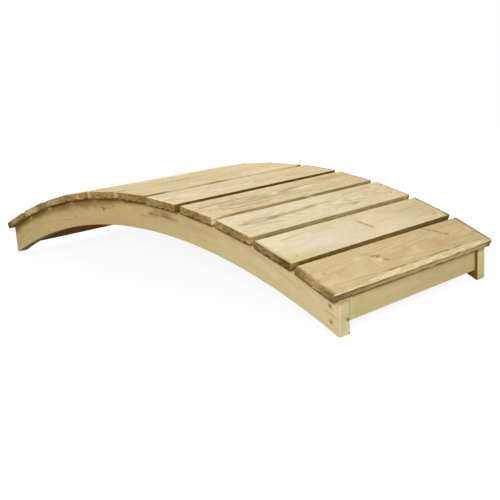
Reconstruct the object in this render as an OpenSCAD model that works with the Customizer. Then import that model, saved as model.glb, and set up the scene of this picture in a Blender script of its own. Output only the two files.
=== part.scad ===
// Low arched timber garden footbridge without handrails.
// Deck boards lie across two arched stringers, which two end rails hold apart.
// Millimetres, +X along the walkway toward the front end, +Z up.
// The origin is on the ground, in the middle of the bridge.

/* [Stringers] */
// Length of each stringer from end cut to end cut
stringer_l = 1684; // [1300:1:2400]
// Radius of the arch on which the deck boards lie
arch_r = 2000; // [1700:1:3000]
// Depth of each stringer, measured along the arch radius
stringer_d = 90; // [70:1:120]
// Thickness of each stringer
stringer_t = 40; // [25:1:60]
// Width over the outer faces of the two stringers
frame_w = 700; // [450:1:1100]
// Length of the flat on which each toe stands
foot_l = 5; // [3:0.5:20]

/* [Deck boards] */
// Width of each board, along the walkway
board_w = 140; // [90:1:180]
// Thickness of each board
board_t = 24; // [15:1:40]
// Distance that the boards stand out past each stringer's outer face
side_overhang = 20; // [0:1:60]
// Smallest gap between boards, which are spread evenly from end to end
board_gap = 18; // [4:1:30]

/* [End rails] */
// Thickness of each rail, along the walkway
rail_t = 28; // [18:1:60]
// Height of each rail's underside above the ground
rail_z = 31; // [15:1:50]
// Distance of each rail's outer face behind the stringers' end cuts
rail_setback = 10; // [0:1:40]

/* [Hidden] */
half_l = stringer_l / 2;
board_l = frame_w + 2 * side_overhang;
rail_l = frame_w - 2 * stringer_t;
stringer_y = frame_w / 2 - stringer_t;

// The underside of the arch meets the ground where the foot flats begin
underside_r = arch_r - stringer_d;
arch_z = -sqrt(pow(underside_r, 2) - pow(half_l - foot_l, 2));

// The end boards' lower outer edge is flush with the stringers' end cuts
half_w = board_w / 2;
end_angle = asin(half_l / norm([arch_r, half_w])) - atan2(half_w, arch_r);
deck_arc = 2 * PI * arch_r * 2 * end_angle / 360;
board_n = floor(deck_arc / (board_w + board_gap)) + 1;
pitch_angle = 2 * end_angle / (board_n - 1);

deck_color = [0.88, 0.82, 0.67];
stringer_color = [0.75, 0.66, 0.46];
rail_color = [0.76, 0.68, 0.48];

// Boards are counted from the front end
function board_name(i) = str("deck_board_", i < 10 ? "0" : "", i);
function board_angle(i) = ((board_n + 1) / 2 - i) * pitch_angle;

// Point on a board's seat, s along the walkway from the middle of the board
function seat_point(angle, s) =
    [0, arch_z] + arch_r * [sin(angle), cos(angle)] + s * [cos(angle), -sin(angle)];

// Height of the front board's underside above the ground, at x
function front_board_z(x) =
    seat_point(end_angle, 0).y - (x - seat_point(end_angle, 0).x) * tan(end_angle);

board_names = [for (i = [1 : board_n]) board_name(i)];

// Extrudes an outline drawn in X and Z along Y, centred
module across(width) {
    rotate([90, 0, 0])
        linear_extrude(width, center = true)
            children();
}

// Side outline of a stringer: a flat seat under each board, plumb ends and an arched underside
module stringer_outline() {
    seats = [for (i = [1 : board_n], s = [half_w, -half_w]) seat_point(board_angle(i), s)];
    difference() {
        polygon(concat(seats, [[-half_l, 0], [half_l, 0]]));
        translate([0, arch_z])
            circle(r = underside_r, $fn = 360);
    }
}

module left_stringer() {
    color(stringer_color)
        translate([0, stringer_y + stringer_t / 2, 0])
            across(stringer_t)
                stringer_outline();
}

module right_stringer() {
    mirror([0, 1, 0])
        left_stringer();
}

// The rail's top is planed to the slope of the end board that it carries
module front_rail() {
    outer_x = half_l - rail_setback;
    inner_x = outer_x - rail_t;
    color(rail_color)
        across(rail_l)
            polygon([
                [inner_x, rail_z],
                [outer_x, rail_z],
                [outer_x, front_board_z(outer_x)],
                [inner_x, front_board_z(inner_x)]
            ]);
}

module back_rail() {
    mirror([1, 0, 0])
        front_rail();
}

module deck_board(i) {
    color(deck_color)
        translate([0, 0, arch_z])
            rotate([0, board_angle(i), 0])
                translate([-half_w, -board_l / 2, arch_r])
                    cube([board_w, board_l, board_t]);
}

left_stringer();
right_stringer();
front_rail();
back_rail();
for (i = [1 : board_n]) {
    deck_board(i);
}
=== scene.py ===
"""Looks of a low arched timber garden footbridge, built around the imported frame.

Metres, in the frame's axes: +X along the walkway toward the front end, +Y to its left, +Z up.
"""

import math

import bpy
import numpy as np
from mathutils import Matrix, Vector


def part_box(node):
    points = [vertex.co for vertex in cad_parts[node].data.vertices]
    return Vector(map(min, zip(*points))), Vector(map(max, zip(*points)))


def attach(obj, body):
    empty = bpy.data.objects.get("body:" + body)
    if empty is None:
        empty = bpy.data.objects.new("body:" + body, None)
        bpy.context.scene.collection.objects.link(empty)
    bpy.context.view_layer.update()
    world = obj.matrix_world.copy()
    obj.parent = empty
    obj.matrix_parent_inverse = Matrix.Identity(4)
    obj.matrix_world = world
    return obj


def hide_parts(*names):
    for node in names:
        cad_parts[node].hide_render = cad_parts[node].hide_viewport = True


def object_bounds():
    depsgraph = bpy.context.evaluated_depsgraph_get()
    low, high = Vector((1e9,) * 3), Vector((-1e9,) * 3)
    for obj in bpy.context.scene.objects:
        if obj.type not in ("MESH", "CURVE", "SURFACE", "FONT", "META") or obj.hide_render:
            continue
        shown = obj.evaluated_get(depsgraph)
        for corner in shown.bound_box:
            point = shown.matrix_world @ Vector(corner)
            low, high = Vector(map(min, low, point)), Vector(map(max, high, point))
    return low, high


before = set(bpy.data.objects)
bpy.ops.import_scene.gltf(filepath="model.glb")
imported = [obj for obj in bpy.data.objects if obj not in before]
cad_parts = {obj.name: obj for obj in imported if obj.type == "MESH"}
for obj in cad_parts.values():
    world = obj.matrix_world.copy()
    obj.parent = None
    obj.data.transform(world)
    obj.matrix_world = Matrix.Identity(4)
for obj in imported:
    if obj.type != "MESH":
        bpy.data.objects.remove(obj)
cad_low, cad_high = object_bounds()

# Construction sizes, the same as the frame's
MM = 0.001
MRAD = 0.001
ARCH_R = 2.0
STRINGER_D = 90 * MM
FOOT_L = 5 * MM
BOARD_COUNT = 11
crown_low, crown_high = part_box("deck_board_06")
BOARD_W = crown_high.x - crown_low.x
BOARD_T = crown_high.z - crown_low.z
stringer_low, stringer_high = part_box("left_stringer")
HALF_L = stringer_high.x
STRINGER_T = stringer_high.y - stringer_low.y
STRINGER_Y = (stringer_high.y + stringer_low.y) / 2
BOARD_L = 2 * cad_high.y
UNDERSIDE_R = ARCH_R - STRINGER_D
ARCH_Z = -math.sqrt(UNDERSIDE_R ** 2 - (HALF_L - FOOT_L) ** 2)
END_ANGLE = math.asin(HALF_L / math.hypot(ARCH_R, BOARD_W / 2)) - math.atan2(BOARD_W / 2, ARCH_R)
PITCH_ANGLE = 2 * END_ANGLE / (BOARD_COUNT - 1)

# How far each deck board lies from its even place, toward the front end
BOARD_SHIFT = np.array([1, -1.5, -2, -3, -5.5, -5, -4.5, 0, 3.5, -2.5, -3]) * MM
# How far each board is turned on its seat; its left end goes toward the front end
BOARD_TURN = np.array([7, 0, -2, -5, -9, -11, -4, 2, -3, 3, -2]) * MRAD
EVEN_ANGLES = (BOARD_COUNT - 1) / 2 * PITCH_ANGLE - np.arange(BOARD_COUNT) * PITCH_ANGLE
BOARD_ANGLES = EVEN_ANGLES + BOARD_SHIFT / ARCH_R
# Thickness of each board, which is sawn and not planed
BOARD_THICK = BOARD_T + np.array([0, -1, 1, 1.2, 1.2, 1, 1, 2, 2, 1.5, 0]) * MM
# How much longer each board is than the mean, at its right end and at its left end
BOARD_LONGER = np.array([
    (3, 3), (3, 5), (2, 2), (2, 1), (7, 2), (1, -4), (1, 0), (0, 2), (-1, -1), (2, 3), (5, 1),
]) * MM
# How much wider each board is than the mean, at its back edge
BOARD_WIDER = np.array([3, 2, 3] + 8 * [0]) * MM

# Camera, at the photograph's viewing angle
AZIMUTH = math.radians(46.878)
ELEVATION = math.radians(13.562)
ROLL = math.radians(-3.286)
DISTANCE = 2.8466
TARGET = Vector((0.1477, 0.0, 0.0670))
FOCAL_PX = 828.43
IMAGE_PX = 500
SENSOR_MM = 36.0

# Colours of treated pine as they look on a screen
# Palest fresh wood; also painted light on some boards' long edges and along their right ends
FRESH_AND_PAINTED_LIGHT = (0.98, 0.91, 0.73)
PALE = (0.895, 0.83, 0.685)
CREAM = (0.885, 0.815, 0.66)
STRAW = (0.865, 0.785, 0.615)
TAN = (0.815, 0.725, 0.54)
LINE_TAN = (0.735, 0.66, 0.465)
OCHRE = (0.72, 0.64, 0.45)
BROWN = (0.64, 0.54, 0.34)
DARK_BROWN = (0.47, 0.37, 0.18)
SAWN_PALE = (0.80, 0.71, 0.49)
SAWN_LIGHT = (0.70, 0.59, 0.38)
SAWN = (0.64, 0.54, 0.34)
SAWN_ORANGE = (0.75, 0.60, 0.37)
SAWN_OLIVE = (0.63, 0.55, 0.31)
SAWN_DARK = (0.565, 0.465, 0.275)
SAWN_DEEP = (0.51, 0.415, 0.24)
OLIVE = (0.80, 0.755, 0.50)
PINK = (0.92, 0.845, 0.76)
RUST = (0.72, 0.57, 0.36)
STREAK = (0.55, 0.42, 0.25)
# Painted shade where pieces meet: along the boards' undersides and the rails' tops
PAINTED_CONTACT_SHADE = (0.28, 0.19, 0.07)
# Painted shadow that the deck's overhang casts on the stringers' faces
PAINTED_OVERHANG_SHADE = (0.58, 0.44, 0.20)
KNOT_CORE = (0.58, 0.43, 0.26)
KNOT_RIM = (0.40, 0.27, 0.13)
# Some boards' own tones, and their edges
BRIGHT = (0.92, 0.86, 0.715)
IVORY = (0.905, 0.84, 0.685)
WARM_IVORY = (0.905, 0.835, 0.675)
COOL_IVORY = (0.90, 0.83, 0.68)
DULL_CREAM = (0.885, 0.81, 0.64)
DULL_STRAW = (0.865, 0.79, 0.62)
DULL_TAN = (0.825, 0.735, 0.55)
# A board's underside, darker as painted shade
PAINTED_UNDERSIDE_SHADE = (0.76, 0.67, 0.48)
SAWN_BRIGHT = (0.84, 0.76, 0.54)
WANE = (0.95, 0.88, 0.70)
CLEAN_EDGE = (0.92, 0.83, 0.60)
BARK_TAN = (0.84, 0.75, 0.52)
BARK_OCHRE = (0.78, 0.68, 0.44)
EDGE_TAN = (0.78, 0.695, 0.485)
EDGE_OLIVE = (0.55, 0.455, 0.23)
EDGE_DARK = (0.445, 0.35, 0.155)
# Stringers
ARCH_BACK = (0.84, 0.745, 0.525)
ARCH_WARM = (0.845, 0.74, 0.515)
ARCH_CROWN = (0.80, 0.70, 0.49)
ARCH_LIGHT = (0.83, 0.74, 0.555)
ARCH_FRONT = (0.84, 0.755, 0.58)
ARCH_TOP = (0.70, 0.61, 0.42)
# A stringer's underside and inner face, darker as painted shade
ARCH_UNDER_SHADE = (0.60, 0.43, 0.22)
ARCH_INNER_SHADE = (0.62, 0.51, 0.31)
ARCH_SHADE = (0.45, 0.34, 0.17)
ARCH_CUT = (0.89, 0.83, 0.635)
ARCH_CUT_LEFT = (0.85, 0.79, 0.57)
# End rails
RAIL_RIGHT = (0.86, 0.77, 0.58)
RAIL_LEFT = (0.865, 0.775, 0.56)
# A rail's inner face, darker and redder as painted shade
RAIL_INNER_SHADE = (0.82, 0.58, 0.32)
RAIL_EDGE = (0.74, 0.65, 0.45)
# Screws
ZINC = (0.52, 0.42, 0.26)
BROWNED_ZINC = (0.33, 0.24, 0.13)


def linear(rgb):
    """Linear values of a colour written as it looks on a screen."""
    c = np.asarray(rgb, float)
    return np.where(c <= 0.04045, c / 12.92, ((c + 0.055) / 1.055) ** 2.4)


def smooth(low, high, x):
    """0 below low, 1 above high, with a smooth step between."""
    f = np.clip((x - low) / (high - low), 0, 1)
    return f * f * (3 - 2 * f)


# Large odd numbers that scatter the corners of a lattice
SCATTER = (73856093, 19349663, 83492791, 26544357)
SCATTER_AGAIN = 1274126177
LOW_32_BITS = 0xFFFFFFFF
LOW_16_BITS = 0xFFFF


def lattice(i, j, k, seed):
    """Repeatable value from -1 to 1 for each corner of a whole-number lattice."""
    n = (i * SCATTER[0]) ^ (j * SCATTER[1]) ^ (k * SCATTER[2]) ^ (seed * SCATTER[3])
    n = n & LOW_32_BITS
    n = ((n ^ (n >> 13)) * SCATTER_AGAIN) & LOW_32_BITS
    n = (n ^ (n >> 16)) & LOW_16_BITS
    return 2 * n / LOW_16_BITS - 1


# Cells before the origin, so that no cell's number is negative
LATTICE_START = 1000
OCTAVE_SEED = 17


def noise(points, cells, seed):
    """Smooth noise from -1 to 1, with that many cells a metre along each axis."""
    q = points * np.asarray(cells, float) + LATTICE_START
    base = np.floor(q).astype(np.int64)
    f = q - base
    f = f * f * (3 - 2 * f)
    total = np.zeros(len(points))
    for corner in np.ndindex(2, 2, 2):
        weight = np.prod(np.where(corner, f, 1 - f), 1)
        total += weight * lattice(*(base + corner).T, seed)
    return total


def rough_noise(points, cells, seed, octaves=3):
    """Noise with finer noise added at half the height each time."""
    cells = np.asarray(cells, float)
    return sum(noise(points, cells * 2 ** o, seed + OCTAVE_SEED * o) / 2 ** o for o in range(octaves))


# Grid lines close to an arris, so that it can be rounded
ARRIS_LINES = np.array([0, 0.5, 1.1, 1.9, 3.2, 5.0]) * MM


def grid_line(length, step, fine_at=(), fine_span=6 * MM, fine_step=1.5 * MM):
    """Places from -length/2 to length/2: even steps, closer at both ends and about the fine places."""
    half = length / 2
    inner = half - ARRIS_LINES[-1]
    even = np.linspace(-inner, inner, max(2, round(2 * inner / step)) + 1)
    lines = [even, ARRIS_LINES - half, half - ARRIS_LINES]
    for place in fine_at:
        even = lines[0]
        lines[0] = even[np.abs(even - place) > fine_span]
        lines.append(np.arange(place - fine_span, place + fine_span + fine_step / 2, fine_step))
    return np.unique(np.round(np.concatenate(lines), 6))


def box_grid(a, b, c):
    """Points and quads of a box's skin, on grid lines a, b and c along its three axes."""
    shell = np.ones((len(a), len(b), len(c)), bool)
    shell[1:-1, 1:-1, 1:-1] = False
    ids = np.full(shell.shape, -1)
    ids[shell] = np.arange(shell.sum())
    i, j, k = np.nonzero(shell)
    points = np.stack([a[i], b[j], c[k]], 1)
    sides = (
        (ids[:, :, -1], False), (ids[:, :, 0], True),
        (ids[-1], False), (ids[0], True),
        (ids[:, 0], False), (ids[:, -1], True),
    )
    quads = []
    for block, turned in sides:
        ring = [block[:-1, :-1], block[1:, :-1], block[1:, 1:], block[:-1, 1:]]
        side = np.stack(ring, -1).reshape(-1, 4)
        quads.append(side[:, ::-1] if turned else side)
    return points, np.concatenate(quads)


# Radius of the arrises
WORN_MEAN = 1.2 * MM
WORN_SLOW = 0.5 * MM
WORN_CHIPS = 0.6 * MM
WORN_LEAST = 0.35 * MM


def worn_radius(points, seed):
    """Radius of the arrises at each point: slow changes, with small chips."""
    slow = noise(points, (25, 12, 40), seed)
    chips = noise(points, (110, 60, 60), seed + 1)
    return np.maximum(WORN_MEAN + WORN_SLOW * slow + WORN_CHIPS * chips, WORN_LEAST)


def soften(points, half, radius):
    """Rounds a box's arrises to a radius given for each point; returns points and outward normals."""
    inner = np.asarray(half) - radius[:, None]
    core = np.clip(points, -inner, inner)
    out = points - core
    normals = out / np.linalg.norm(out, axis=1)[:, None]
    return core + normals * radius[:, None], normals


def add_object(name, data):
    """Puts a mesh, lamp or camera into the scene."""
    made = bpy.data.objects.new(name, data)
    bpy.context.scene.collection.objects.link(made)
    return made


def add_timber(name, points, quads, attributes):
    """Makes a smooth-shaded mesh object with named values at its points."""
    mesh = bpy.data.meshes.new(name)
    mesh.from_pydata(points.tolist(), [], quads.tolist())
    for key, (kind, field, values) in attributes.items():
        layer = mesh.attributes.new(key, kind, "POINT")
        layer.data.foreach_set(field, np.ascontiguousarray(values, np.float32).ravel())
    mesh.shade_smooth()
    return add_object(name, mesh)


# Length of a knot along the grain, in widths
KNOT_LONG = 1.25
# Rings bend round a knot: stretch along the grain, reach in knot sizes, and rings a metre of knot size
BEND_LONG = 1.9
BEND_REACH = 2.1
BEND_RINGS = 2.6 / (7 * MM)


def ring_count(p, look, seed):
    """Growth rings from the pith to each point; p is along the grain, across it and through the timber."""
    along, across, deep = p.T
    wander = noise(p * [1, 0, 0], (3, 1, 1), seed) * look["wander"]
    a = across - look["pith"][0] - wander
    d = deep - look["pith"][1] - look["tilt"] * along
    wave = rough_noise(p, (6, 18, 18), seed + 3, 2) * look["wave"]
    rings = (np.hypot(a, d) + wave) / look["ring"]
    for k_along, k_across, size in look["knots"]:
        reach = np.hypot((along - k_along) / BEND_LONG, across - k_across) / (BEND_REACH * size)
        rings += BEND_RINGS * size * np.exp(-reach ** 2)
    return rings


def knot_reach(p, look):
    """Distance to the nearest knot's middle, in knot sizes."""
    reach = np.full(len(p), np.inf)
    for k_along, k_across, size in look["knots"]:
        offset = np.hypot((p[:, 0] - k_along) / KNOT_LONG, p[:, 1] - k_across)
        reach = np.minimum(reach, offset / size)
    return reach


def stroke(p, path, width):
    """How strongly each point lies on a stroke along a path of (along, across) places."""
    nearest = np.full(len(p), np.inf)
    for start, end in zip(path, path[1:]):
        run = np.subtract(end, start)
        offset = p[:, :2] - start
        share = np.clip(offset @ run / (run @ run), 0, 1)
        gap = offset - share[:, None] * run
        nearest = np.minimum(nearest, np.hypot(gap[:, 0], gap[:, 1]))
    return np.exp(-(nearest / width) ** 2)


def along_tones(along, tones):
    """Linear colour at each place: one colour, or between colours given at places along the timber."""
    if not isinstance(tones[0], tuple):
        tones = ((0, tones),)
    places, colours = zip(*tones)
    return np.stack([np.interp(along, places, channel) for channel in linear(colours).T], 1)


def blend(colour, other, cover):
    """Covers a share of one colour with another, at each point."""
    cover = np.asarray(cover)[:, None]
    return colour * (1 - cover) + other * cover


# How ragged the borders between faces are
FACE_RAGGED = 0.12
# How far the tone of an end creeps along the timber, and how ragged its border is
END_BLEED = 7 * MM
BLEED_RAGGED = 0.6


def faces(p, normals, seed):
    """Shares of end, long edge and underside at each point, with ragged borders."""
    ragged = FACE_RAGGED * noise(p, (140, 120, 120), seed + 21)
    end = smooth(0.5, 0.8, np.abs(normals[:, 0]) + ragged)
    edge = smooth(0.45, 0.8, np.abs(normals[:, 1]) + ragged)
    under = smooth(0.45, 0.8, -normals[:, 2] + ragged)
    return end, edge, under


def end_bleed(p, half, seed):
    """1 at the ends of the timber, fading out along it over a ragged border."""
    ragged = rough_noise(p, (60, 90, 90), seed + 27, 2) * BLEED_RAGGED
    return 1 - smooth(0.3, 1.3, (half[0] - np.abs(p[:, 0])) / END_BLEED + ragged)


# How patches, and slow drifts of hue, change red, green and blue
PATCH_TINT = np.array([0.6, 0.8, 1.3])
HUE_TINT = np.array([0.5, 0.0, -0.4])
# Patches on undersides, edges and ends
UNDER_PATCH = 0.15
EDGE_PATCH = 0.2
END_PATCH = 0.3
KNOT_SHARE = 0.8
# Share of the ring contrast that is lost on the ends
END_FLATTENED = 0.4
# Bounds of each linear colour value
LEAST_LIGHT = 0.005
MOST_LIGHT = 0.95


def tinted(p, normals, half, look, seed):
    """Colour of the timber at each point, in linear values, with the ring contrast as its alpha."""
    end, edge, under = faces(p, normals, seed)
    colour = along_tones(p[:, 0], look["tone"])
    patch = rough_noise(p, (3.5, 14, 14), seed + 5)[:, None]
    hue = rough_noise(p, (5, 9, 9), seed + 6)[:, None]
    colour = colour * (1 + look["mottle"] * patch * PATCH_TINT)
    colour = colour * (1 + look["mottle"] * hue * HUE_TINT)
    for s_along, s_across, r_along, r_across, stain, share in look["stains"]:
        reach = np.hypot((p[:, 0] - s_along) / r_along, (p[:, 1] - s_across) / r_across)
        colour = blend(colour, linear(stain), share * np.exp(-reach ** 2))
    reach = knot_reach(p, look)
    colour = blend(colour, linear(KNOT_RIM), KNOT_SHARE * (1 - smooth(0.85, 1.3, reach)))
    colour = blend(colour, linear(KNOT_CORE), KNOT_SHARE * (1 - smooth(0.55, 0.95, reach)))
    # The face behind the outer face takes the under tone, which is darker as painted shade
    colour = blend(colour, along_tones(p[:, 0], look["under"]) * (1 + UNDER_PATCH * patch), under)
    back_edge = along_tones(p[:, 0], look["back_edge"] or look["edge"])
    edge_tone = np.where(normals[:, 1:2] < 0, back_edge, along_tones(p[:, 0], look["edge"]))
    inward = smooth(0, 1, (half[2] - p[:, 2]) / look["wrap"])
    colour = blend(colour, edge_tone * (1 + EDGE_PATCH * patch), edge * inward)
    end_tone = along_tones(p[:, 1], look["end"])
    near_bleed, far_bleed = look["bleed"]
    bleed = np.where(p[:, 0] < 0, near_bleed, far_bleed) * end_bleed(p, half, seed)
    colour = blend(colour, end_tone, bleed * (1 - end))
    colour = blend(colour, end_tone * (1 + END_PATCH * patch), end)
    for s_across, s_deep, size in look["end_spots"]:
        reach = np.hypot(p[:, 1] - s_across, p[:, 2] - s_deep) / size
        spot = (p[:, 0] > 0) * end * (1 - smooth(0.5, 1.2, reach))
        colour = blend(colour, linear(DARK_BROWN), spot)
    # Painted shade where the timber lies against or under another piece
    shade_share = painted_shade_fade(p, half, look, seed) * look["covered"](p)
    colour = blend(colour, linear(look["joint_tone"]), look["joint_share"] * shade_share)
    contrast = look["contrast"] * (1 - END_FLATTENED * end)
    return np.hstack([np.clip(colour, LEAST_LIGHT, MOST_LIGHT), contrast[:, None]])


def painted_shade_fade(p, half, look, seed):
    """Share of painted shade: 1 at the side where the timber meets another piece, fading out over a ragged
    border.
    """
    axis, side, fades = look["joint"]
    fade = np.interp(p[:, 0], *zip(*fades))
    ragged = rough_noise(p, (45, 120, 120), seed + 25, 2) * look["ragged"]
    return 1 - smooth(0.2, 1.1, (half[axis] - side * p[:, axis]) / fade + ragged)


def marked(p, normals, look, seed):
    """Red: dark streaks. Green: pale rounded arrises, partly wear and partly painted highlight. Blue:
    rough sawn faces.
    """
    end, edge, _ = faces(p, normals, seed)
    dark = np.zeros(len(p))
    for path, width, share in look["streaks"]:
        dark = np.maximum(dark, share * stroke(p, path, width))
    dark = dark * smooth(0.2, 0.7, normals[:, 2])
    pale_arris = smooth(0.04, 0.2, 1 - np.abs(normals).max(1)) * (1 - smooth(0.2, 0.5, np.abs(normals[:, 0])))
    sawn = np.maximum(look["sawn_end"] * end, look["sawn_edge"] * edge)
    return np.stack([dark, pale_arris, sawn, np.ones(len(p))], 1)


# Keeps one timber's grain apart from the next one's
GRAIN_SHIFT = np.array([0.37, 0.11, 0.23])


def timber_values(p, normals, half, look, seed):
    """The named values that the timber material reads."""
    return {
        "grain": ("FLOAT_VECTOR", "vector", p + GRAIN_SHIFT * seed),
        "ring": ("FLOAT", "value", ring_count(p, look, seed)),
        "tint": ("FLOAT_COLOR", "color", tinted(p, normals, half, look, seed)),
        "mark": ("FLOAT_COLOR", "color", marked(p, normals, look, seed)),
    }


WAVE_HEIGHT = 0.25 * MM
ROUGH_HEIGHT = 0.25 * MM
KNOT_HEIGHT = 0.35 * MM


def relief(p, normals, look, seed):
    """Height of the surface over a flat one: slow waves, knots, and rough ends and edges."""
    end, edge, _ = faces(p, normals, seed)
    waves = rough_noise(p, (7, 16, 16), seed + 9, 2) * WAVE_HEIGHT
    rough = rough_noise(p, (110, 150, 150), seed + 11, 2) * ROUGH_HEIGHT
    knots = (1 - smooth(0.7, 1.2, knot_reach(p, look))) * KNOT_HEIGHT
    return waves + knots * (1 - end) + rough * np.maximum(end, edge)


def shade_everywhere(p):
    """Painted shade along the whole timber."""
    return np.ones(len(p))


# What a look holds. Places are from the timber's middle, and a board's outer face is its top.
# tone, under, edge: colour, or colours at places along the outer face, the one behind it and the edges
# back_edge: the same for a board's back edge or an arch's underside, where it differs
# end: the same, at places across the ends; bleed: how much of it creeps inward at each end
# pith, tilt, ring, wander, wave: the rings' middle, its slope, their spacing, and how uneven they are
# contrast, mottle: strength of rings and of patches; sawn_edge, sawn_end: how rough those faces are
# joint: axis and side where painted shade lies next to another piece, and how far in, by place
# covered: where that painted shade counts
# joint_tone, joint_share, ragged: the painted shade's colour, strength and border
# wrap: how far the outer face's tone runs onto the long edges; wear: multiple of the arrises' radius
# knots: along, across, size; streaks: path, width, share; end_spots: across, through, size
# stains: along, across, reach along, reach across, colour, share
BASE_LOOK = {
    "tone": CREAM, "under": PAINTED_UNDERSIDE_SHADE, "edge": BROWN, "end": SAWN,
    "pith": (0.01, -0.05), "tilt": 0.02, "ring": 4.5 * MM, "wander": 8 * MM, "wave": 2 * MM,
    "contrast": 0.25, "mottle": 0.05, "sawn_edge": 0.6, "sawn_end": 1.0,
    # Painted shade along a board's underside, where it lies on the stringers
    "joint": (2, -1, ((0, 6 * MM),)), "joint_tone": PAINTED_CONTACT_SHADE, "joint_share": 0.85, "covered": shade_everywhere,
    "ragged": 0.5, "wrap": 0.01 * MM, "wear": 1.0,
    "bleed": (0.35, 0.85), "knots": (), "stains": (), "streaks": (), "end_spots": (), "back_edge": None,
}

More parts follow.
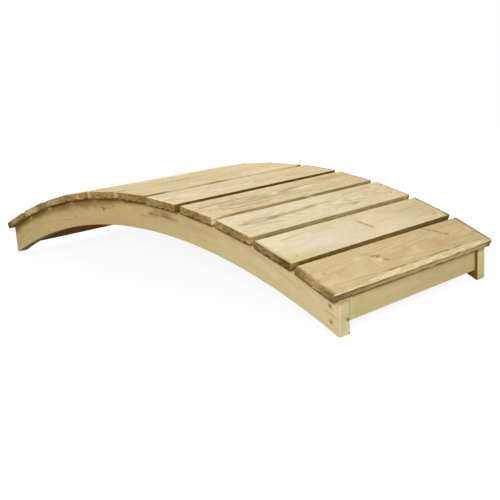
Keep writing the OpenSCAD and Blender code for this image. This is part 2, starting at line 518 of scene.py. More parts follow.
# Deck boards from the front end
BOARD_LOOKS = (
    {
        "tone": DULL_TAN,
        "edge": (
            (-0.36, BROWN), (-0.28, BARK_OCHRE), (-0.15, BARK_TAN),
            (0.2, CLEAN_EDGE), (0.33, CLEAN_EDGE), (0.36, BROWN),
        ),
        "contrast": 0.3, "bleed": (0.75, 0.9),
        "end": ((-0.05, SAWN_DARK), (0, SAWN_LIGHT), (0.05, SAWN_DARK)), "joint": (2, -1, ((0, 5 * MM),)),
        "knots": ((-0.103, -0.013, 3.5 * MM), (0.239, -0.017, 3 * MM)),
        "stains": (
            (-0.110, 0.001, 0.014, 0.009, FRESH_AND_PAINTED_LIGHT, 0.9), (-0.175, -0.025, 0.02, 0.012, CREAM, 0.7),
            (0.03, 0.015, 0.03, 0.009, CREAM, 0.6), (0.0, 0.03, 0.05, 0.008, CREAM, 0.5),
            (-0.30, 0.035, 0.08, 0.012, CREAM, 0.4), (0.1, -0.04, 0.2, 0.02, STRAW, 0.4),
            (0.370, 0.01, 0.009, 0.08, SAWN_DARK, 0.9),
        ),
        "streaks": (
            (((0.185, -0.068), (0.214, -0.043), (0.239, -0.016)), 5 * MM, 0.7),
            (((0.222, -0.028), (0.245, -0.013)), 4 * MM, 0.95),
            (((-0.34, 0.036), (-0.26, 0.038), (-0.178, 0.045)), 2.2 * MM, 0.45),
            (((0.34, 0.012), (0.36, 0.012)), 2.5 * MM, 0.6),
            (((-0.118, -0.024), (-0.092, -0.016)), 3.6 * MM, 0.8),
            (((-0.094, 0.004), (-0.078, 0.010)), 3.4 * MM, 0.75),
            (((-0.326, -0.015), (-0.322, -0.015)), 5 * MM, 0.6),
            (((0.330, -0.016), (0.334, -0.016)), 5 * MM, 0.5),
        ),
    },
    {
        "tone": PALE,
        "edge": ((-0.372, SAWN_PALE), (-0.352, SAWN_OLIVE), (-0.335, EDGE_OLIVE)),
        "end": ((-0.05, SAWN_DEEP), (0, SAWN), (0.05, DARK_BROWN)), "contrast": 0.2,
        "stains": (
            (-0.31, 0.055, 0.10, 0.022, OLIVE, 0.8), (-0.19, 0.006, 0.12, 0.035, PINK, 0.8),
            (0.10, 0.02, 0.12, 0.04, PINK, 0.5), (0.33, -0.01, 0.14, 0.09, TAN, 0.7),
            (0.0, -0.055, 0.3, 0.015, STRAW, 0.5),
        ),
        "streaks": (
            (((0.021, -0.034), (0.027, -0.014), (0.039, 0.015)), 4.8 * MM, 1.0),
            (((0.318, 0.040), (0.330, 0.041)), 2.5 * MM, 0.7),
            (((0.2, -0.02), (0.34, -0.03)), 4 * MM, 0.25), (((0.24, 0.03), (0.36, 0.025)), 4 * MM, 0.25),
            (((-0.3, -0.04), (-0.12, -0.05)), 3 * MM, 0.25),
        ),
    },
    {
        "tone": ((-0.3, BRIGHT), (0.3, PALE)), "edge": EDGE_TAN, "contrast": 0.45, "bleed": (0.1, 0.85),
        "end": ((-0.05, SAWN), (0, SAWN_DARK), (0.05, SAWN_LIGHT)), "pith": (-0.005, -0.03), "tilt": 0.07,
        "stains": (
            # A pale band at the right end is a painted highlight on the arris
            (-0.365, 0.0, 0.008, 0.08, FRESH_AND_PAINTED_LIGHT, 0.5),
            (-0.30, -0.03, 0.12, 0.03, PINK, 0.5), (0.30, 0.0, 0.15, 0.06, STRAW, 0.5),
            (0.13, 0.032, 0.02, 0.008, RUST, 0.4), (-0.2, 0.06, 0.2, 0.02, PALE, 0.6),
        ),
        "streaks": (
            (((-0.335, -0.008), (-0.254, -0.002), (-0.162, -0.009), (-0.069, -0.012), (-0.008, -0.02)),
             7 * MM, 0.8),
            (((-0.31, -0.018), (-0.20, -0.016)), 4 * MM, 0.8),
            (((-0.014, -0.02), (0.07, -0.02)), 4 * MM, 0.5),
            (((0.085, 0.018), (0.024, 0.042)), 4 * MM, 0.3),
            (((0.12, 0.034), (0.15, 0.031)), 4 * MM, 0.6),
            (((0.15, -0.04), (0.30, -0.045)), 3.5 * MM, 0.45),
        ),
    },
    {
        "tone": ((0.0, IVORY), (0.3, DULL_CREAM)),
        # The palest stretches of the long edges are painted light in the gaps
        "edge": ((-0.36, FRESH_AND_PAINTED_LIGHT), (-0.28, LINE_TAN), (0.02, LINE_TAN), (0.05, FRESH_AND_PAINTED_LIGHT), (0.08, LINE_TAN)),
        "end": ((-0.05, SAWN_LIGHT), (0, SAWN)),
        "contrast": 0.62, "pith": (0.0, -0.025), "tilt": 0.04, "ring": 5.5 * MM, "bleed": (0.0, 0.85),
        "stains": (
            # A pale band at the right end is a painted highlight on the arris
            (-0.365, -0.02, 0.009, 0.06, FRESH_AND_PAINTED_LIGHT, 0.7),
            (0.26, -0.037, 0.09, 0.02, RUST, 0.6), (-0.34, 0.0, 0.05, 0.07, CREAM, 0.6),
            (-0.05, 0.06, 0.3, 0.012, PALE, 0.6), (-0.1, -0.06, 0.3, 0.012, PALE, 0.5),
            (-0.17, 0.01, 0.16, 0.03, RUST, 0.2),
        ),
        "streaks": (
            (((-0.338, -0.021), (-0.206, -0.025), (-0.100, -0.020)), 4.2 * MM, 0.8),
            (((-0.289, 0.027), (-0.252, 0.037), (-0.106, 0.042)), 4 * MM, 0.75),
            (((-0.25, 0.008), (-0.12, 0.015), (0.017, 0.007)), 4 * MM, 0.7),
            (((-0.22, -0.006), (-0.05, -0.004)), 4 * MM, 0.6),
            (((-0.27, 0.055), (-0.2, 0.06)), 4 * MM, 0.6),
            (((0.0, -0.01), (0.17, -0.02)), 4.2 * MM, 0.65),
            (((-0.02, 0.03), (0.10, 0.036)), 4 * MM, 0.55),
        ),
    },
    {
        "tone": ((-0.3, WARM_IVORY), (0.0, COOL_IVORY), (0.3, DULL_STRAW)), "edge": EDGE_DARK,
        "contrast": 0.5, "end": ((-0.05, SAWN_LIGHT), (0, SAWN_DARK)), "bleed": (0.0, 0.85),
        "stains": (
            (0.28, 0.0, 0.15, 0.07, STRAW, 0.4), (-0.2, 0.03, 0.15, 0.03, PINK, 0.3),
            # The pale band at the right end is a painted highlight on the arris
            (-0.370, 0.0, 0.011, 0.09, FRESH_AND_PAINTED_LIGHT, 0.8),
        ),
        "streaks": ((((-0.02, -0.004), (0.0, -0.003)), 2.5 * MM, 0.5),),
    },
    {
        "tone": STRAW,
        # Pale stretches of the long edges are painted light, which hides the gap lines
        "edge": (
            (-0.30, BROWN), (-0.25, FRESH_AND_PAINTED_LIGHT), (-0.13, PALE), (-0.08, OCHRE), (-0.04, OCHRE),
            (0.02, FRESH_AND_PAINTED_LIGHT), (0.33, FRESH_AND_PAINTED_LIGHT), (0.35, DARK_BROWN),
        ),
        "end": ((0, SAWN), (0.05, SAWN_DARK)), "sawn_edge": 0.2, "contrast": 0.35,
        "stains": ((0.16, 0.03, 0.12, 0.03, PINK, 0.5), (-0.05, -0.03, 0.2, 0.03, OLIVE, 0.3)),
    },
    {
        # The pale long edges are painted light, which hides the gap lines
        "tone": STRAW, "edge": ((-0.33, STRAW), (-0.28, FRESH_AND_PAINTED_LIGHT)), "sawn_edge": 0.2, "end": SAWN_LIGHT,
        "stains": ((0.2, -0.04, 0.2, 0.03, OLIVE, 0.4),),
    },
    {
        # The pale long edges are painted light, which hides the gap lines
        "tone": CREAM, "edge": ((-0.33, STRAW), (-0.28, FRESH_AND_PAINTED_LIGHT)), "sawn_edge": 0.2, "end": SAWN_ORANGE,
        "stains": ((-0.1, 0.02, 0.25, 0.02, OLIVE, 0.4),),
    },
    {
        "tone": TAN, "end": ((-0.04, SAWN_PALE), (0, SAWN_ORANGE), (0.05, SAWN)), "contrast": 0.4,
    },
    {
        "tone": CREAM, "end": ((0, SAWN_BRIGHT), (0.05, SAWN_OLIVE)), "joint_share": 0.55,
    },
    {
        "tone": STRAW, "contrast": 0.35, "joint_share": 0.55, "wear": 2.6,
        "end": ((-0.068, DARK_BROWN), (-0.045, SAWN_DARK), (0, SAWN_PALE), (0.05, SAWN_LIGHT)),
    },
)
# Where the screw at the right end and the one at the left end sit across each board
SCREW_ACROSS = np.array([
    (-15, -16), (45, 41), (-14, 22), (12, -9), (-8, 15), (20, -4),
    (-18, 10), (6, -20), (16, 3), (-12, 14), (10, -17),
]) * MM
SCREW_ALONG = (-0.324, 0.332)
# The board on the crown; those behind it get knots by chance
CROWN_BOARD = 6
# Where the seeds of each kind of piece start
LOOK_SEED = 40
BOARD_SEED = 100
STRINGER_SEED = 200
RAIL_SEED = 300


def board_look(number):
    """A board's look: what is set for it, and otherwise rings and knots drawn for it."""
    draw = np.random.default_rng(LOOK_SEED + number)
    knots = [
        (draw.uniform(-0.33, 0.33), draw.uniform(-0.05, 0.05), draw.uniform(3, 8) * MM)
        for _ in range(draw.integers(1, 4))
    ]
    look = {
        **BASE_LOOK,
        "pith": (draw.uniform(-0.05, 0.05), draw.uniform(-0.12, -0.03)),
        "tilt": draw.uniform(-0.06, 0.06),
        "ring": draw.uniform(3.5, 5.5) * MM,
        "knots": knots if number > CROWN_BOARD else (),
    }
    look.update(BOARD_LOOKS[number - 1])
    return look


def screw_places(number):
    """Places of a board's two screws, along it and across it."""
    return list(zip(SCREW_ALONG, SCREW_ACROSS[number - 1]))


def board_frame(number):
    """A board's axes along, across and up, and the middle of its seat."""
    angle = BOARD_ANGLES[number - 1]
    turn = BOARD_TURN[number - 1]
    up = np.array([math.sin(angle), 0, math.cos(angle)])
    forward = np.array([math.cos(angle), 0, -math.sin(angle)])
    left = np.array([0, 1, 0])
    along = math.cos(turn) * left + math.sin(turn) * forward
    across = math.cos(turn) * forward - math.sin(turn) * left
    seat = np.array([0, 0, ARCH_Z]) + ARCH_R * up
    return along, across, up, seat


# The front board is this much thicker at its back edge
BACK_RISE = 1 * MM
# Crushed dish round a screw
DISH_R = 6 * MM
DISH_FLAT = 3.3 * MM
DISH_DEPTH = 0.6 * MM


def dished(u, v, normals, places):
    """Depth of the crushed dishes around screws, at places on an outer face."""
    depth = np.zeros(len(u))
    for place in places:
        reach = np.hypot(u - place[0], v - place[1])
        depth = np.maximum(depth, DISH_DEPTH * (1 - smooth(DISH_FLAT, DISH_R, reach)))
    return depth * smooth(0.5, 0.9, normals[:, 2])


# Wane of the front board: least, growth and raggedness of its width and of its depth
WANE_WIDTH = np.array([3, 15, 0.5]) * MM
WANE_DEPTH = np.array([2, 3.5, 0.25]) * MM
# How far bark stain reaches below the wane, and how much further where that is small
BARK_REACH = 5 * MM
BARK_REACH_MORE = 3 * MM
BARK_SHARE = 0.75
LINE_SHARE = 0.7
WANE_SHARE = 0.85
WANE_ROUGH = 0.4


def waned(p, normals, half, seed):
    """Takes the upper front arris off, little at the ends and more between; also gives its stains."""
    along = p[:, 0]
    growth = smooth(-0.34, -0.1, along) * (1 - 0.9 * smooth(0.31, 0.37, along))
    ragged = rough_noise(p * [1, 0, 0], (16, 1, 1), seed + 31, 4)
    shape = np.stack([np.ones(len(p)), growth, ragged])
    width = WANE_WIDTH @ shape
    depth = WANE_DEPTH @ shape
    over = (p[:, 1] - half[1]) / width + (p[:, 2] - half[2]) / depth + 1
    cut = np.maximum(over, 0) / 2
    moved = p.copy()
    moved[:, 1] -= cut * width
    moved[:, 2] -= cut * depth
    # Below the wane the edge is dark with bark stain, and then clean
    below = half[2] - depth - p[:, 2]
    reach = BARK_REACH + BARK_REACH_MORE * (1 - growth)
    stain = 1 - smooth(0.4, 1.0, below / reach)
    stain *= smooth(0.5, 0.9, normals[:, 1]) * smooth(-1 * MM, 0, below)
    # A brown line runs along its upper border
    line = growth * np.exp(-((over + 0.16) / 0.15) ** 2) * smooth(0.3, 0.8, normals[:, 2])
    line *= smooth(-0.6, 0.5, noise(p * [1, 0, 0], (28, 1, 1), seed + 33))
    return moved, smooth(-0.05, 0.15, over + 0.05 * ragged), stain, line


# Grid steps along, across and through a board, and finer ones for the wane
BOARD_STEPS = (7 * MM, 3 * MM, 2.5 * MM)
WANED_STEPS = (3 * MM, 2 * MM, 2.5 * MM)


def make_board(number):
    """One deck board, numbered from the front end."""
    seed = BOARD_SEED + number
    look = board_look(number)
    screws = screw_places(number)
    longer_right, longer_left = BOARD_LONGER[number - 1]
    wider = BOARD_WIDER[number - 1]
    thick = BOARD_THICK[number - 1]
    middle = np.array([longer_left - longer_right, -wider, 0]) / 2
    size = np.array([BOARD_L + longer_left + longer_right, BOARD_W + wider, thick])
    steps = WANED_STEPS if number == 1 else BOARD_STEPS
    a = grid_line(size[0], steps[0], [s[0] - middle[0] for s in screws])
    b = grid_line(size[1], steps[1], [s[1] - middle[1] for s in screws])
    c = grid_line(size[2], steps[2])
    p, quads = box_grid(a, b, c)
    p, normals = soften(p, size / 2, look["wear"] * worn_radius(p, seed))
    # From here on, places are from the middle of the even board
    p = p + middle
    half = np.array([BOARD_L, BOARD_W, thick]) / 2
    values = timber_values(p, normals, half, look, seed)
    if number == 1:
        p, wane, bark, line = waned(p, normals, half, seed)
        p[:, 2] += BACK_RISE * (0.5 - p[:, 1] / BOARD_W) * (p[:, 2] / thick + 0.5)
        tint = values["tint"][2]
        tint[:, :3] = blend(tint[:, :3], linear(DARK_BROWN), BARK_SHARE * bark)
        tint[:, :3] = blend(tint[:, :3], linear(DARK_BROWN), LINE_SHARE * line)
        tint[:, :3] = blend(tint[:, :3], linear(WANE), WANE_SHARE * wane)
        mark = values["mark"][2]
        mark[:, 2] = np.maximum(mark[:, 2], WANE_ROUGH * wane)
    p = p + normals * relief(p, normals, look, seed)[:, None]
    p[:, 2] -= dished(p[:, 0], p[:, 1], normals, screws)
    along, across, up, seat = board_frame(number)
    local = p + [0, 0, thick / 2]
    world = seat + local[:, :1] * along + local[:, 1:2] * across + local[:, 2:] * up
    # The axes along, across and up are left-handed, so the quads turn round
    piece = add_timber(f"board_{number:02d}", world, quads[:, ::-1], values)
    piece.data.materials.append(deck_timber)
    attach(piece, "root")
    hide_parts(f"deck_board_{number:02d}")


def stringer_top(x):
    """Height of a stringer's top: a flat seat under each board."""
    seats = [(ARCH_R - x * math.sin(angle)) / math.cos(angle) for angle in BOARD_ANGLES]
    return np.min(seats, 0) + ARCH_Z


def stringer_under(x):
    """Height of a stringer's arched underside, down to its feet."""
    return np.maximum(np.sqrt(np.maximum(UNDERSIDE_R ** 2 - x ** 2, 0)) + ARCH_Z, 0)


def arch_place(x, depth):
    """Local place on a stringer's face, from places along the walkway and below its top."""
    return ARCH_R * math.asin(x / ARCH_R), STRINGER_D / 2 - depth


def face_place(x, z):
    """Local place on a stringer's face, from a place along the walkway and a height."""
    under = stringer_under(x)
    share = (z - under) / (stringer_top(x) - under)
    return ARCH_R * math.asin(x / ARCH_R), (share - 0.5) * STRINGER_D


# How far down a stringer the painted light from a gap in the deck reaches
GAP_LIGHT = 8 * MM
# It begins this far inside a board's edge, and is full this far outside it
GAP_INSIDE = 4 * MM
GAP_OUTSIDE = 2 * MM


def overhang_shade_mask(p):
    """Painted shade on a stringer: 1 under the deck boards, less under the gaps, where painted light comes
    through.
    """
    offset = np.abs(p[:, :1] - ARCH_R * BOARD_ANGLES).min(1)
    depth = STRINGER_D / 2 - p[:, 1]
    gap = smooth(BOARD_W / 2 - GAP_INSIDE, BOARD_W / 2 + GAP_OUTSIDE, offset)
    return 1 - gap * np.exp(-depth / GAP_LIGHT)


# Screws through a stringer's ends into the end rails: place along the walkway, and height
RAIL_SCREWS = [(side * x, z) for side in (1, -1) for x, z in ((0.810, 0.081), (0.812, 0.038))]
# Rust round those screws, stronger at the front end
RUST_RING = 5.5 * MM
RUST_FRONT = 1.0
RUST_BACK = 0.4
# Dark streaks on a stringer: places along the walkway and below the top, width, share
ARCH_STREAKS = (
    (((0.526, 0.022), (0.601, 0.030), (0.707, 0.044)), 1.8 * MM, 0.5),
    (((0.792, 0.049), (0.838, 0.045)), 2 * MM, 0.45),
    (((0.060, 0.036), (0.13, 0.031), (0.20, 0.034)), 6 * MM, 0.9),
    (((0.09, 0.022), (0.18, 0.024)), 5 * MM, 0.75),
    (((0.02, 0.045), (0.10, 0.044)), 2.5 * MM, 0.45),
    (((-0.23, 0.030), (-0.15, 0.034)), 3 * MM, 0.4),
    (((-0.14, 0.026), (-0.125, 0.026)), 2.5 * MM, 0.7),
    (((-0.30, 0.026), (-0.288, 0.026)), 2.2 * MM, 0.7),
    (((-0.375, 0.054), (-0.365, 0.054)), 2.2 * MM, 0.6),
    (((0.038, 0.013), (0.052, 0.013)), 2.5 * MM, 0.6),
)


def stringer_streaks():
    """Dark streaks, and rust round the rail screws, in local places."""
    strokes = []
    for path, width, share in ARCH_STREAKS:
        strokes.append(([arch_place(*place) for place in path], width, share))
    for x, z in RAIL_SCREWS:
        share = RUST_FRONT if x > 0 else RUST_BACK
        strokes.append(([face_place(x, z), face_place(x + MM, z)], RUST_RING, share))
    return strokes


STRINGER_LOOK = {
    **BASE_LOOK,
    "tone": (
        (-0.87, ARCH_BACK), (-0.3, ARCH_WARM), (0.0, ARCH_CROWN), (0.5, ARCH_LIGHT), (0.87, ARCH_FRONT),
    ),
    # The inner face, and the underside toward it, are darker as painted shade
    "under": ((0.5, ARCH_INNER_SHADE), (0.78, ARCH_SHADE)), "edge": ARCH_TOP, "end": ARCH_CUT,
    "back_edge": ((-0.8, DARK_BROWN), (-0.6, ARCH_UNDER_SHADE), (-0.2, ARCH_UNDER_SHADE), (0.1, OCHRE)),
    "pith": (0.03, -0.06), "mottle": 0.08, "contrast": 0.12, "sawn_end": 0.1, "bleed": (0.0, 0.0),
    # Painted shadow down from the top, cast by the deck's overhang
    "joint": (1, 1, (
        (-0.83, 29 * MM), (-0.75, 25 * MM), (-0.5, 31 * MM),
        (-0.25, 38 * MM), (0.0, 18 * MM), (0.2, 12 * MM),
    )),
    "joint_tone": PAINTED_OVERHANG_SHADE, "joint_share": 0.92, "ragged": 0.2, "wrap": 42 * MM, "covered": overhang_shade_mask,
    "stains": (
        (0.55, -0.036, 0.30, 0.02, OLIVE, 0.35), (0.15, -0.036, 0.25, 0.02, OLIVE, 0.2),
        (-0.3, 0.02, 0.3, 0.015, RUST, 0.15), (0.62, 0.045, 0.3, 0.022, OCHRE, 0.4),
    ),
    "knots": ((*arch_place(-0.192, 0.037), 5 * MM),), "streaks": stringer_streaks(),
}
# Dark chips on the right stringer's front end: up and out from its middle, size
CHIPS = ((-0.007, -0.013, 5.5 * MM), (-0.043, -0.018, 4 * MM))
# Grid steps along the walkway, up and through a stringer
STRINGER_STEPS = (7 * MM, 2.5 * MM, 5 * MM)


def make_stringer(side, node, look):
    """One arched stringer; side is -1 or 1 along Y."""
    seed = STRINGER_SEED + side
    a = grid_line(2 * HALF_L, STRINGER_STEPS[0], [x for x, _ in RAIL_SCREWS[::2]])
    a = np.unique(np.round(np.concatenate([a, [FOOT_L - HALF_L, HALF_L - FOOT_L]]), 6))
    b = grid_line(STRINGER_D, STRINGER_STEPS[1])
    c = grid_line(STRINGER_T, STRINGER_STEPS[2])
    p, quads = box_grid(a, b, c)
    half = np.array([HALF_L, STRINGER_D / 2, STRINGER_T / 2])
    p, normals = soften(p, half, worn_radius(p, seed))
    # Local places: along the arch, height over the middle line, out of the side face
    local = np.stack([ARCH_R * np.arcsin(p[:, 0] / ARCH_R), p[:, 1], p[:, 2]], 1)
    values = timber_values(local, normals, half, look, seed)
    height = relief(local, normals, look, seed)
    share = p[:, 1] / STRINGER_D + 0.5
    top = stringer_top(p[:, 0])
    under = stringer_under(p[:, 0])
    world = np.stack([p[:, 0], p[:, 2], under + share * (top - under)], 1)
    height -= dished(world[:, 0], world[:, 2], normals, RAIL_SCREWS)
    world += normals[:, [0, 2, 1]] * height[:, None]
    world[:, 1] = side * (STRINGER_Y + world[:, 1])
    # Along, up and out are left-handed on the left side only
    quads = quads[:, ::-1] if side > 0 else quads
    piece = add_timber(node.replace("stringer", "arch"), world, quads, values)
    piece.data.materials.append(stringer_timber)
    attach(piece, "root")
    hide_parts(node)


RAIL_LOOK = {
    **BASE_LOOK, "tone": ((-0.3, RAIL_RIGHT), (0.3, RAIL_LEFT)), "bleed": (0.0, 0.0),
    "under": RAIL_INNER_SHADE, "edge": RAIL_EDGE, "contrast": 0.15,
    # Painted shade along the top, under the end board
    "joint": (1, 1, ((0, 9 * MM),)), "joint_share": 0.7,
    "stains": (
        (-0.1, -0.02, 0.25, 0.01, OLIVE, 0.3), (0.1, 0.025, 0.3, 0.01, RUST, 0.2),
        # The pale patch at the right end is painted light over the shadow of the stringer's end
        (-0.26, -0.01, 0.06, 0.04, OLIVE, 0.6), (-0.305, 0.0, 0.018, 0.08, PALE, 0.8),
    ),
}
# Grid steps along, up and through a rail
RAIL_STEPS = (6 * MM, 3 * MM, 5 * MM)


def make_rail(side, node):
    """One end rail; side is 1 at the front end and -1 at the back."""
    seed = RAIL_SEED + side
    low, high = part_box(node)
    size = np.array((high - low).yzx)
    p, quads = box_grid(*(grid_line(length, step) for length, step in zip(size, RAIL_STEPS)))
    half = size / 2
    p, normals = soften(p, half, worn_radius(p, seed))
    values = timber_values(p, normals, half, RAIL_LOOK, seed)
    p = p + normals * relief(p, normals, RAIL_LOOK, seed)[:, None]
    # The top slopes with the end board
    slope = math.tan(END_ANGLE)
    drop = (p[:, 2] + half[2]) * slope * smooth(-half[1], half[1], p[:, 1])
    middle = (low + high) / 2
    world = np.stack([middle.x + side * p[:, 2], p[:, 0], middle.z + p[:, 1] - drop], 1)
    # Along, up and out are left-handed at the back end only
    quads = quads if side > 0 else quads[:, ::-1]
    piece = add_timber(node.replace("rail", "end_rail"), world, quads, values)
    piece.data.materials.append(rail_timber)
    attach(piece, "root")
    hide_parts(node)


# Countersunk screws with a cross recess
HEAD_R = 3.4 * MM
HEAD_STEPS = 32
HEAD_SUNK = 0.45 * MM
RECESS_R = 1.8 * MM
RECESS_ARM = 0.45 * MM
RECESS_DEPTH = 1.2 * MM
# Rings of a head's top, and of its rim and cone: shares of the radius, and depths
TOP_RINGS = np.linspace(0.06, 0.94, 11)
RIM_RINGS = ((1.0, 0.12 * MM), (1.0, 0.4 * MM), (0.45, 2.6 * MM), (0.06, 2.8 * MM))
# Each recess is turned this much further than the last, in radians
RECESS_TURN = 2.4


def screw_head():
    """Points and faces of one screw head, closed below; its top is at z 0 and looks up."""
    rings = [(share * HEAD_R, 0.0) for share in TOP_RINGS]
    rings += [(share * HEAD_R, -depth) for share, depth in RIM_RINGS]
    turn = np.linspace(0, 2 * math.pi, HEAD_STEPS, endpoint=False)
    circle = np.stack([np.cos(turn), np.sin(turn), np.ones(HEAD_STEPS)], 1)
    points = np.concatenate([circle * (radius, radius, z) for radius, z in rings])
    reach = np.hypot(points[:, 0], points[:, 1])
    arm = np.minimum(np.abs(points[:, 0]), np.abs(points[:, 1]))
    inside = 1 - smooth(RECESS_ARM, 1.5 * RECESS_ARM, arm)
    inside *= 1 - smooth(0.8 * RECESS_R, RECESS_R, reach)
    points[:, 2] -= RECESS_DEPTH * inside * (points[:, 2] == 0)
    first = np.arange(HEAD_STEPS)
    following = np.roll(first, -1)
    band = np.stack([first, HEAD_STEPS + first, HEAD_STEPS + following, following], 1)
    quads = np.concatenate([ring * HEAD_STEPS + band for ring in range(len(rings) - 1)])
    return points, [*quads, first, (len(rings) - 1) * HEAD_STEPS + first[::-1]]


def make_screws(name, places):
    """Joins screws into one piece; each place is a point with the two axes of its face."""
    points, head_faces = screw_head()
    all_points = []
    all_faces = []
    for number, (centre, x_axis, y_axis) in enumerate(places):
        turn = RECESS_TURN * number
        x_turned = math.cos(turn) * x_axis + math.sin(turn) * y_axis
        y_turned = math.cos(turn) * y_axis - math.sin(turn) * x_axis
        out = np.cross(x_axis, y_axis)
        base = number * len(points)
        head = points[:, :1] * x_turned + points[:, 1:2] * y_turned + points[:, 2:] * out
        all_points.append(centre - HEAD_SUNK * out + head)
        all_faces += [(face + base).tolist() for face in head_faces]
    mesh = bpy.data.meshes.new(name)
    mesh.from_pydata(np.concatenate(all_points).tolist(), [], all_faces)
    mesh.materials.append(screw_steel)
    piece = add_object(name, mesh)
    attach(piece, "root")


def deck_screw_places():
    places = []
    for number in range(1, BOARD_COUNT + 1):
        along, across, up, seat = board_frame(number)
        for u, v in screw_places(number):
            top = seat + BOARD_THICK[number - 1] * up
            places.append((top + u * along + v * across, across, along))
    return places


def rail_screw_places():
    places = []
    for side in (-1, 1):
        outside = side * (STRINGER_Y + STRINGER_T / 2)
        for x, z in RAIL_SCREWS:
            x_axis = np.array([-side, 0, 0])
            places.append((np.array([x, outside, z]), x_axis, np.array([0, 0, 1])))
    return places


class Tree:
    """Adds and joins shader nodes."""

    def __init__(self, owner):
        owner.use_nodes = True
        self.tree = owner.node_tree
        self.tree.nodes.clear()

    def add(self, kind, values=None, **settings):
        node = self.tree.nodes.new(kind)
        for key, value in settings.items():
            setattr(node, key, value)
        for key, value in (values or {}).items():
            if isinstance(value, bpy.types.NodeSocket):
                self.tree.links.new(value, node.inputs[key])
            else:
                node.inputs[key].default_value = value
        return node

    def math(self, operation, a, b=0.0, clamp=False):
        return self.add("ShaderNodeMath", {0: a, 1: b}, operation=operation, use_clamp=clamp).outputs[0]

    def plus(self, total, value, share, clamp=False):
        """Adds a share of a value to a total."""
        return self.math("ADD", total, self.math("MULTIPLY", value, share), clamp)

    def span(self, value, low, high, to_low=0.0, to_high=1.0):
        """Takes a value to another range by a smooth step."""
        values = {"Value": value, 1: low, 2: high, 3: to_low, 4: to_high}
        return self.add("ShaderNodeMapRange", values, interpolation_type="SMOOTHSTEP").outputs[0]

    def mix(self, share, a, b, blend="MIX"):
        values = {"Factor": share, 6: a, 7: b}
        return self.add("ShaderNodeMix", values, data_type="RGBA", blend_type=blend).outputs[2]

    def stretched(self, vector, cells, detail=3.0):
        """Noise with that many cells a metre along each axis."""
        scaled = self.add("ShaderNodeVectorMath", {0: vector, 1: cells}, operation="MULTIPLY").outputs[0]
        values = {"Vector": scaled, "Scale": 1.0, "Detail": detail, "Roughness": 0.55}
        return self.add("ShaderNodeTexNoise", values).outputs[0]


# Streaks are spread over the rings as if these were this far apart
RING_FLOW = 4.5 * MM
# How far the rings waver, in rings
RING_WAVER = 0.35
# Multiples of the timber's own colour
BRIGHT_WOOD = (1.08, 1.10, 1.12, 1)
DEEP_WOOD = (0.64, 0.51, 0.33, 1)
DRY_WOOD = (1.18, 1.22, 1.30, 1)
DARK_SPECK = (0.68, 0.64, 0.54, 1)
PALE_SPECK = (1.26, 1.30, 1.44, 1)
# Shares of deep wood in bands, streaks, narrow lines and fibres
BAND_SHARE = 0.08
STREAK_SHARE = 0.22
NARROW_SHARE = 0.55
FIBRE_SHARE = 0.05
# Shares of dry wood in dashes, pale wood on rounded arrises (partly wear, partly painted highlight), and
# dark streak left in narrow lines
DASH_SHARE = 0.5
PALE_ARRIS_SHARE = 0.35
STREAK_LEFT = 0.5
# Relief too fine for the mesh
GRAIN_HEIGHT = 0.5
SPECK_HEIGHT = 2.0
BUMP_STRENGTH = 0.4
BUMP_DEPTH = 0.4 * MM
TIMBER_SHEEN = 0.04


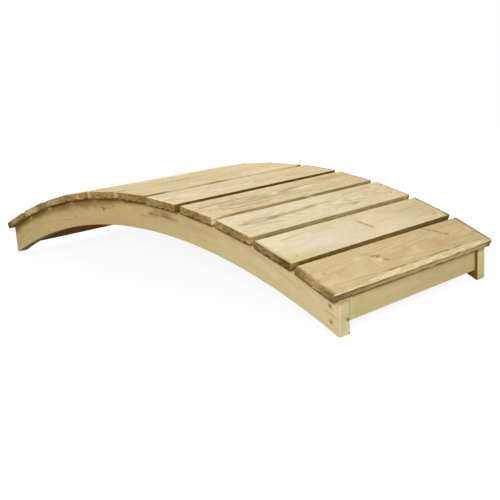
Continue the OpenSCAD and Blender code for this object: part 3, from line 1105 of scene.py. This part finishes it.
def timber(name):
    """Treated pine: growth rings, streaks along the grain, flecks, fibres and rough sawn faces."""
    material = bpy.data.materials.new(name)
    t = Tree(material)
    tint = t.add("ShaderNodeAttribute", attribute_name="tint")
    grain = t.add("ShaderNodeAttribute", attribute_name="grain").outputs["Vector"]
    ring = t.add("ShaderNodeAttribute", attribute_name="ring").outputs["Fac"]
    mark = t.add("ShaderNodeAttribute", attribute_name="mark").outputs["Color"]
    dark, pale_arris, sawn = t.add("ShaderNodeSeparateColor", {0: mark}).outputs

    waver = t.math("MULTIPLY", t.stretched(grain, (25, 160, 160)), RING_WAVER)
    phase = t.math("FRACT", t.math("ADD", ring, waver))
    rise = t.span(phase, 0.30, 0.86)
    fall = t.span(phase, 0.90, 1.0, 1.0, 0.0)
    late = t.math("MULTIPLY", rise, fall)
    patches = t.span(t.stretched(grain, (4, 22, 22)), 0.32, 0.68, 0.25, 1.0)

    along = t.add("ShaderNodeSeparateXYZ", {0: grain}).outputs[0]
    flow = t.add("ShaderNodeCombineXYZ", {0: along, 1: t.math("MULTIPLY", ring, RING_FLOW)}).outputs[0]
    bands = t.span(t.stretched(flow, (3, 60, 1)), 0.35, 0.65)
    streaks = t.span(t.stretched(flow, (5, 190, 1)), 0.55, 0.70)
    dashes = t.span(t.stretched(flow, (18, 170, 1)), 0.58, 0.70)
    narrow = t.span(t.stretched(flow, (22, 240, 1)), 0.35, 0.65)
    fibres = t.span(t.stretched(grain, (45, 1400, 1400), 2.0), 0.3, 0.7)
    specks = t.span(t.stretched(grain, (30, 55, 230), 4.0), 0.36, 0.68)

    own = tint.outputs["Color"]
    contrast = tint.outputs["Alpha"]
    bright, deep, dry = [t.mix(1.0, own, wood, "MULTIPLY") for wood in (BRIGHT_WOOD, DEEP_WOOD, DRY_WOOD)]
    share = t.math("MULTIPLY", t.math("MULTIPLY", late, patches), contrast)
    share = t.plus(share, bands, BAND_SHARE)
    share = t.plus(share, streaks, STREAK_SHARE)
    share = t.plus(share, t.math("MULTIPLY", narrow, contrast), NARROW_SHARE)
    share = t.plus(share, fibres, FIBRE_SHARE, clamp=True)
    colour = t.mix(share, bright, deep)
    colour = t.mix(t.math("MULTIPLY", dashes, DASH_SHARE), colour, dry)
    broken = t.math("MULTIPLY", dark, t.span(narrow, 0.0, 1.0, 1.0, STREAK_LEFT))
    colour = t.mix(broken, colour, (*linear(STREAK), 1))
    speck_tone = t.mix(specks, DARK_SPECK, PALE_SPECK)
    colour = t.mix(sawn, colour, t.mix(1.0, colour, speck_tone, "MULTIPLY"))
    colour = t.mix(t.math("MULTIPLY", pale_arris, PALE_ARRIS_SHARE), colour, (*linear(PALE), 1))

    height = t.math("MULTIPLY", fibres, GRAIN_HEIGHT)
    height = t.plus(height, narrow, GRAIN_HEIGHT)
    height = t.plus(height, late, GRAIN_HEIGHT)
    height = t.plus(height, t.math("MULTIPLY", specks, sawn), SPECK_HEIGHT)
    bump = t.add("ShaderNodeBump", {"Strength": BUMP_STRENGTH, "Distance": BUMP_DEPTH, "Height": height})
    rough = t.span(narrow, 0.0, 1.0, 0.84, 0.70)
    shader = t.add("ShaderNodeBsdfPrincipled", {
        "Base Color": colour, "Roughness": rough, "Specular IOR Level": TIMBER_SHEEN,
        "Normal": bump.outputs[0],
    })
    t.add("ShaderNodeOutputMaterial", {"Surface": shader.outputs[0]})
    return material


def steel(name):
    """Yellow zinc plate that has dulled and browned."""
    material = bpy.data.materials.new(name)
    t = Tree(material)
    place = t.add("ShaderNodeTexCoord").outputs["Object"]
    stains = t.span(t.stretched(place, (700, 700, 700)), 0.35, 0.65)
    colour = t.mix(stains, (*linear(ZINC), 1), (*linear(BROWNED_ZINC), 1))
    rough = t.span(stains, 0.0, 1.0, 0.38, 0.62)
    shader = t.add("ShaderNodeBsdfPrincipled", {"Base Color": colour, "Roughness": rough, "Metallic": 0.8})
    t.add("ShaderNodeOutputMaterial", {"Surface": shader.outputs[0]})
    return material


def seen_directly(t):
    """1 for camera, glossy and transmission rays."""
    path = t.add("ShaderNodeLightPath").outputs
    direct = t.math("MAXIMUM", path["Is Camera Ray"], path["Is Glossy Ray"])
    return t.math("MAXIMUM", direct, path["Is Transmission Ray"])


# Seen directly, the floor is white where it is lit and a light grey in shadow
FLOOR_GLOW = 0.90
FLOOR_LIT = 0.20
FLOOR_BOUNCE = 0.45
FLOOR_REACH = 60.0


def grey(level):
    """A grey with that linear value."""
    return level, level, level, 1


def make_floor():
    mesh = bpy.data.meshes.new("floor")
    r = FLOOR_REACH
    mesh.from_pydata([(-r, -r, 0), (r, -r, 0), (r, r, 0), (-r, r, 0)], [], [(0, 1, 2, 3)])
    floor = add_object("floor", mesh)
    material = bpy.data.materials.new("pale_floor")
    t = Tree(material)
    plain = t.add("ShaderNodeBsdfDiffuse", {"Color": grey(FLOOR_BOUNCE)}).outputs[0]
    lit = t.add("ShaderNodeBsdfDiffuse", {"Color": grey(FLOOR_LIT)}).outputs[0]
    glow = t.add("ShaderNodeEmission", {"Color": grey(1), "Strength": FLOOR_GLOW}).outputs[0]
    white = t.add("ShaderNodeAddShader", {0: lit, 1: glow}).outputs[0]
    mixed = t.add("ShaderNodeMixShader", {0: seen_directly(t), 1: plain, 2: white})
    t.add("ShaderNodeOutputMaterial", {"Surface": mixed.outputs[0]})
    mesh.materials.append(material)


WORLD_LIGHT = 0.5


def make_world():
    """Even light from all around; seen directly, it is white."""
    world = bpy.data.worlds.new("studio")
    bpy.context.scene.world = world
    t = Tree(world)
    around = t.add("ShaderNodeBackground", {"Color": grey(1), "Strength": WORLD_LIGHT}).outputs[0]
    seen = t.add("ShaderNodeBackground", {"Color": grey(1), "Strength": 1}).outputs[0]
    mixed = t.add("ShaderNodeMixShader", {0: seen_directly(t), 1: around, 2: seen})
    t.add("ShaderNodeOutputWorld", {"Surface": mixed.outputs[0]})


# What the lamps are aimed at
LIT_MIDDLE = Vector((0.2, 0.0, 0.2))


def add_lamp(name, toward, distance, size, level):
    """A square lamp aimed at the bridge; level is what it gives a surface that faces it."""
    toward = Vector(toward).normalized()
    data = bpy.data.lights.new(name, "AREA")
    data.shape = "SQUARE"
    data.size = size
    data.energy = level * (math.pi * distance) ** 2
    lamp = add_object(name, data)
    lamp.location = LIT_MIDDLE + toward * distance
    lamp.rotation_euler = toward.to_track_quat("Z", "Y").to_euler()


def make_camera():
    back = Vector((
        math.sin(AZIMUTH) * math.cos(ELEVATION),
        -math.cos(AZIMUTH) * math.cos(ELEVATION),
        math.sin(ELEVATION),
    ))
    level = (-back).cross(Vector((0, 0, 1))).normalized()
    upright = level.cross(-back)
    right = math.cos(ROLL) * level + math.sin(ROLL) * upright
    up = math.cos(ROLL) * upright - math.sin(ROLL) * level
    data = bpy.data.cameras.new("camera")
    data.sensor_width = SENSOR_MM
    data.lens = FOCAL_PX / IMAGE_PX * data.sensor_width
    camera = add_object("camera", data)
    axes = Matrix((right, up, back)).transposed().to_4x4()
    camera.matrix_world = Matrix.Translation(TARGET + back * DISTANCE) @ axes
    bpy.context.scene.camera = camera


deck_timber = timber("deck_timber")
stringer_timber = timber("stringer_timber")
rail_timber = timber("rail_timber")
screw_steel = steel("screw_steel")

for board_number in range(1, BOARD_COUNT + 1):
    make_board(board_number)
make_stringer(1, "left_stringer", {**STRINGER_LOOK, "end": ARCH_CUT_LEFT})
make_stringer(-1, "right_stringer", {**STRINGER_LOOK, "end_spots": CHIPS})
make_rail(1, "front_rail")
make_rail(-1, "back_rail")
make_screws("deck_screws", deck_screw_places())
make_screws("rail_screws", rail_screw_places())

make_floor()
make_world()
add_lamp("key", toward=(0.55, -0.65, 0.30), distance=3.6, size=0.6, level=0.54)
add_lamp("fill", toward=(-0.6, 0.6, 0.7), distance=4.0, size=2.0, level=0.55)
make_camera()
bpy.context.scene.view_settings.view_transform = "Standard"
